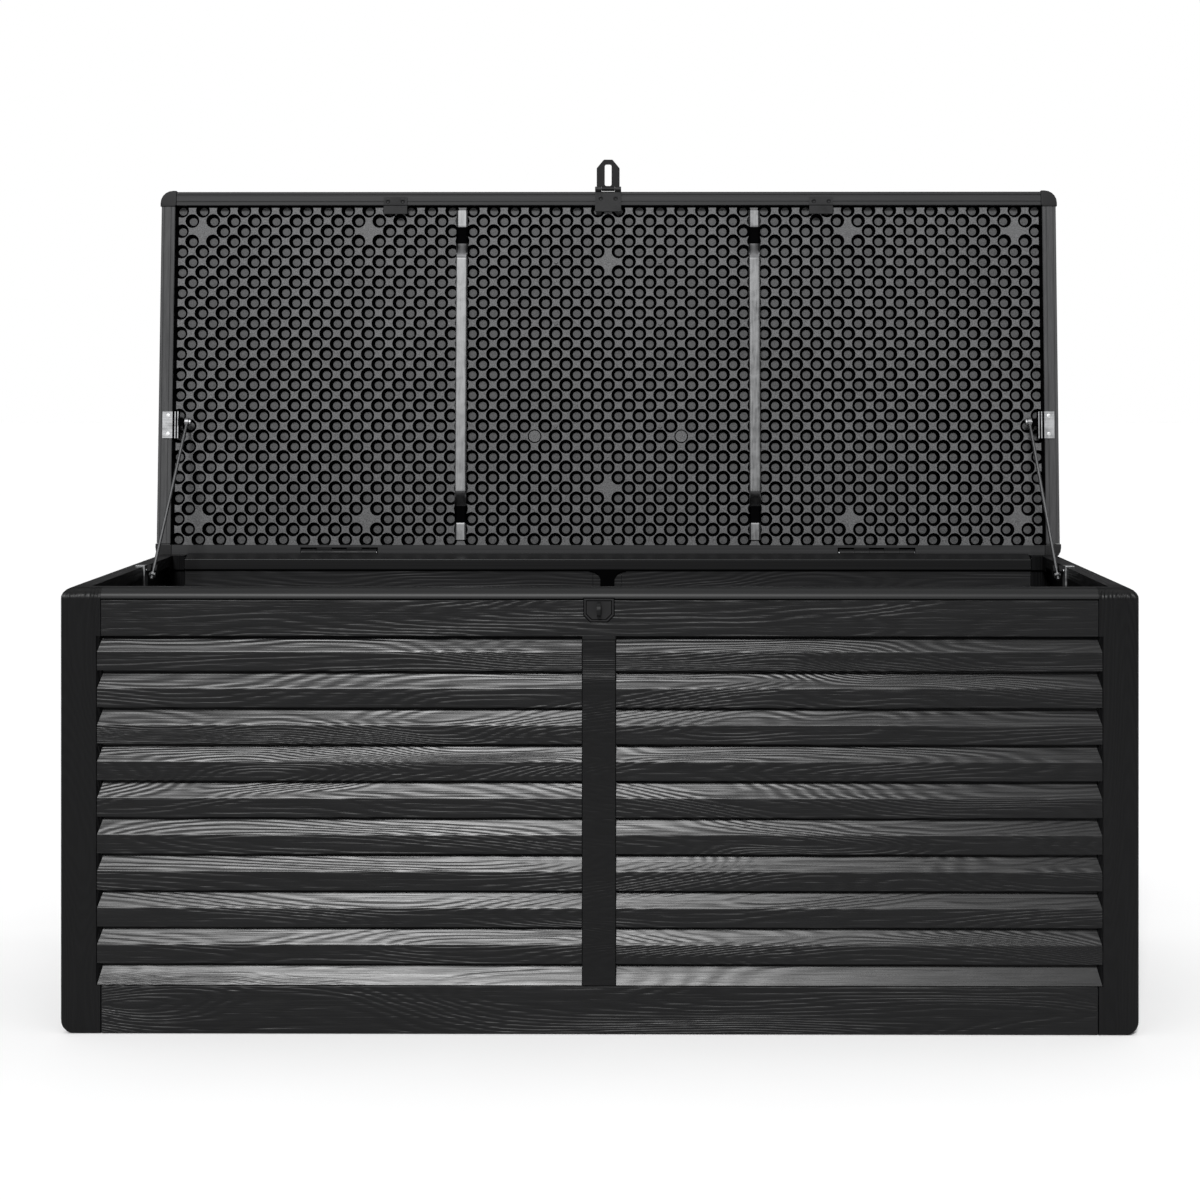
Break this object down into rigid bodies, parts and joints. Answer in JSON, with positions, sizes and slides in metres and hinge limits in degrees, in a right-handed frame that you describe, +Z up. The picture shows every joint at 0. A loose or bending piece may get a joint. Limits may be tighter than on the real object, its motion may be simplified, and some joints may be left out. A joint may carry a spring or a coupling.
{
  "type": "deck storage box",
  "caption": "Louvred resin deck storage box with a hinged, ribbed lid, slide-through stay rods and a padlock hasp.",
  "frame": {"origin": "under the middle of the body, on the surface that the box stands on", "axes": "+Z up, +X to the right seen from the front, -Y out of the louvred front; the lid hinges along +X at the rear"},
  "size_m": [1.45, 0.686, 1.235],
  "materials": {
    "body_resin": "embossed wood grain, satin",
    "lid_resin": "embossed wood grain, satin",
    "dark_resin": "plain, satin",
    "zinc_steel": "zinc plated",
    "dark_steel": "dark coated steel"
  },
  "bodies": {
    "root": {"floor_panel_left": "dark_resin", "floor_panel_right": "dark_resin", "floor_beam": "dark_resin", "front_bottom_rail": "body_resin", "front_top_rail": "body_resin", "front_mullion": "body_resin", "front_panel_left": "body_resin", "front_panel_right": "body_resin", "corner_post_front_left": "body_resin", "corner_post_front_right": "body_resin", "corner_post_rear_left": "body_resin", "corner_post_rear_right": "body_resin", "side_panel_left": "body_resin", "side_panel_right": "body_resin", "rim_left": "body_resin", "rim_right": "body_resin", "rim_front": "body_resin", "rim_rear": "body_resin", "back_panel_left": "body_resin", "back_panel_right": "body_resin", "back_joiner": "dark_resin", "lock_plate": "dark_resin", "padlock_staple": "dark_steel", "hinge_leaf_body_left": "dark_steel", "hinge_leaf_body_right": "dark_steel", "hinge_pin_left": "zinc_steel", "hinge_pin_right": "zinc_steel", "stay_rim_bracket_left": "zinc_steel", "stay_rim_bracket_right": "zinc_steel"},
    "lid": {"lid_panel": "lid_resin", "lid_rail_front": "lid_resin", "lid_rail_rear": "lid_resin", "lid_rail_left": "lid_resin", "lid_rail_right": "lid_resin", "lid_corner_front_left": "dark_resin", "lid_corner_front_right": "dark_resin", "lid_corner_rear_left": "dark_resin", "lid_corner_rear_right": "dark_resin", "stiffener_bar_left": "zinc_steel", "stiffener_bar_right": "zinc_steel", "lid_clip_left": "dark_steel", "lid_clip_right": "dark_steel", "hasp_base": "zinc_steel", "hasp_pin": "zinc_steel", "hinge_leaf_lid_left": "dark_steel", "hinge_leaf_lid_right": "dark_steel", "stay_lid_bracket_left": "zinc_steel", "stay_lid_bracket_right": "zinc_steel", "stay_pivot_pin_left": "zinc_steel", "stay_pivot_pin_right": "zinc_steel"},
    "hasp": {"hasp_tongue": "zinc_steel"},
    "rod_left": {"stay_rod_left": "zinc_steel", "stay_stop_left": "zinc_steel"},
    "rod_right": {"stay_rod_right": "zinc_steel", "stay_stop_right": "zinc_steel"},
    "guide_left": {"stay_guide_left": "dark_steel"},
    "guide_right": {"stay_guide_right": "dark_steel"}
  },
  "joints": [
    {"name": "lid_hinge", "type": "hinge", "parent": "root", "child": "lid", "pos_m": [0, 0.2955, 0.602], "axis": [1, 0, 0], "range_deg": [0, 94]},
    {"name": "hasp_hinge", "type": "hinge", "parent": "lid", "child": "hasp", "pos_m": [0, 0.33342, 1.18728], "axis": [1, 0, 0], "range_deg": [0, 90]},
    {"name": "stay_pivot_left", "type": "hinge", "parent": "lid", "child": "rod_left", "pos_m": [-0.675, 0.3031, 0.81098], "axis": [1, 0, 0], "range_deg": [-133.6, 0.1]},
    {"name": "stay_guide_left", "type": "hinge", "parent": "root", "child": "guide_left", "pos_m": [-0.675, 0.056, 0.594], "axis": [1, 0, 0], "range_deg": [-39.6, 0.1]},
    {"name": "stay_pivot_right", "type": "hinge", "parent": "lid", "child": "rod_right", "pos_m": [0.675, 0.3031, 0.81098], "axis": [1, 0, 0], "range_deg": [-133.6, 0.1]},
    {"name": "stay_guide_right", "type": "hinge", "parent": "root", "child": "guide_right", "pos_m": [0.675, 0.056, 0.594], "axis": [1, 0, 0], "range_deg": [-39.6, 0.1]}
  ],
  "couplings": [
    {"joint": "stay_pivot_left", "follows": "lid_hinge", "ratio": -1.4192},
    {"joint": "stay_guide_left", "follows": "lid_hinge", "ratio": -0.41924},
    {"joint": "stay_pivot_right", "follows": "lid_hinge", "ratio": -1.4192},
    {"joint": "stay_guide_right", "follows": "lid_hinge", "ratio": -0.41924}
  ]
}
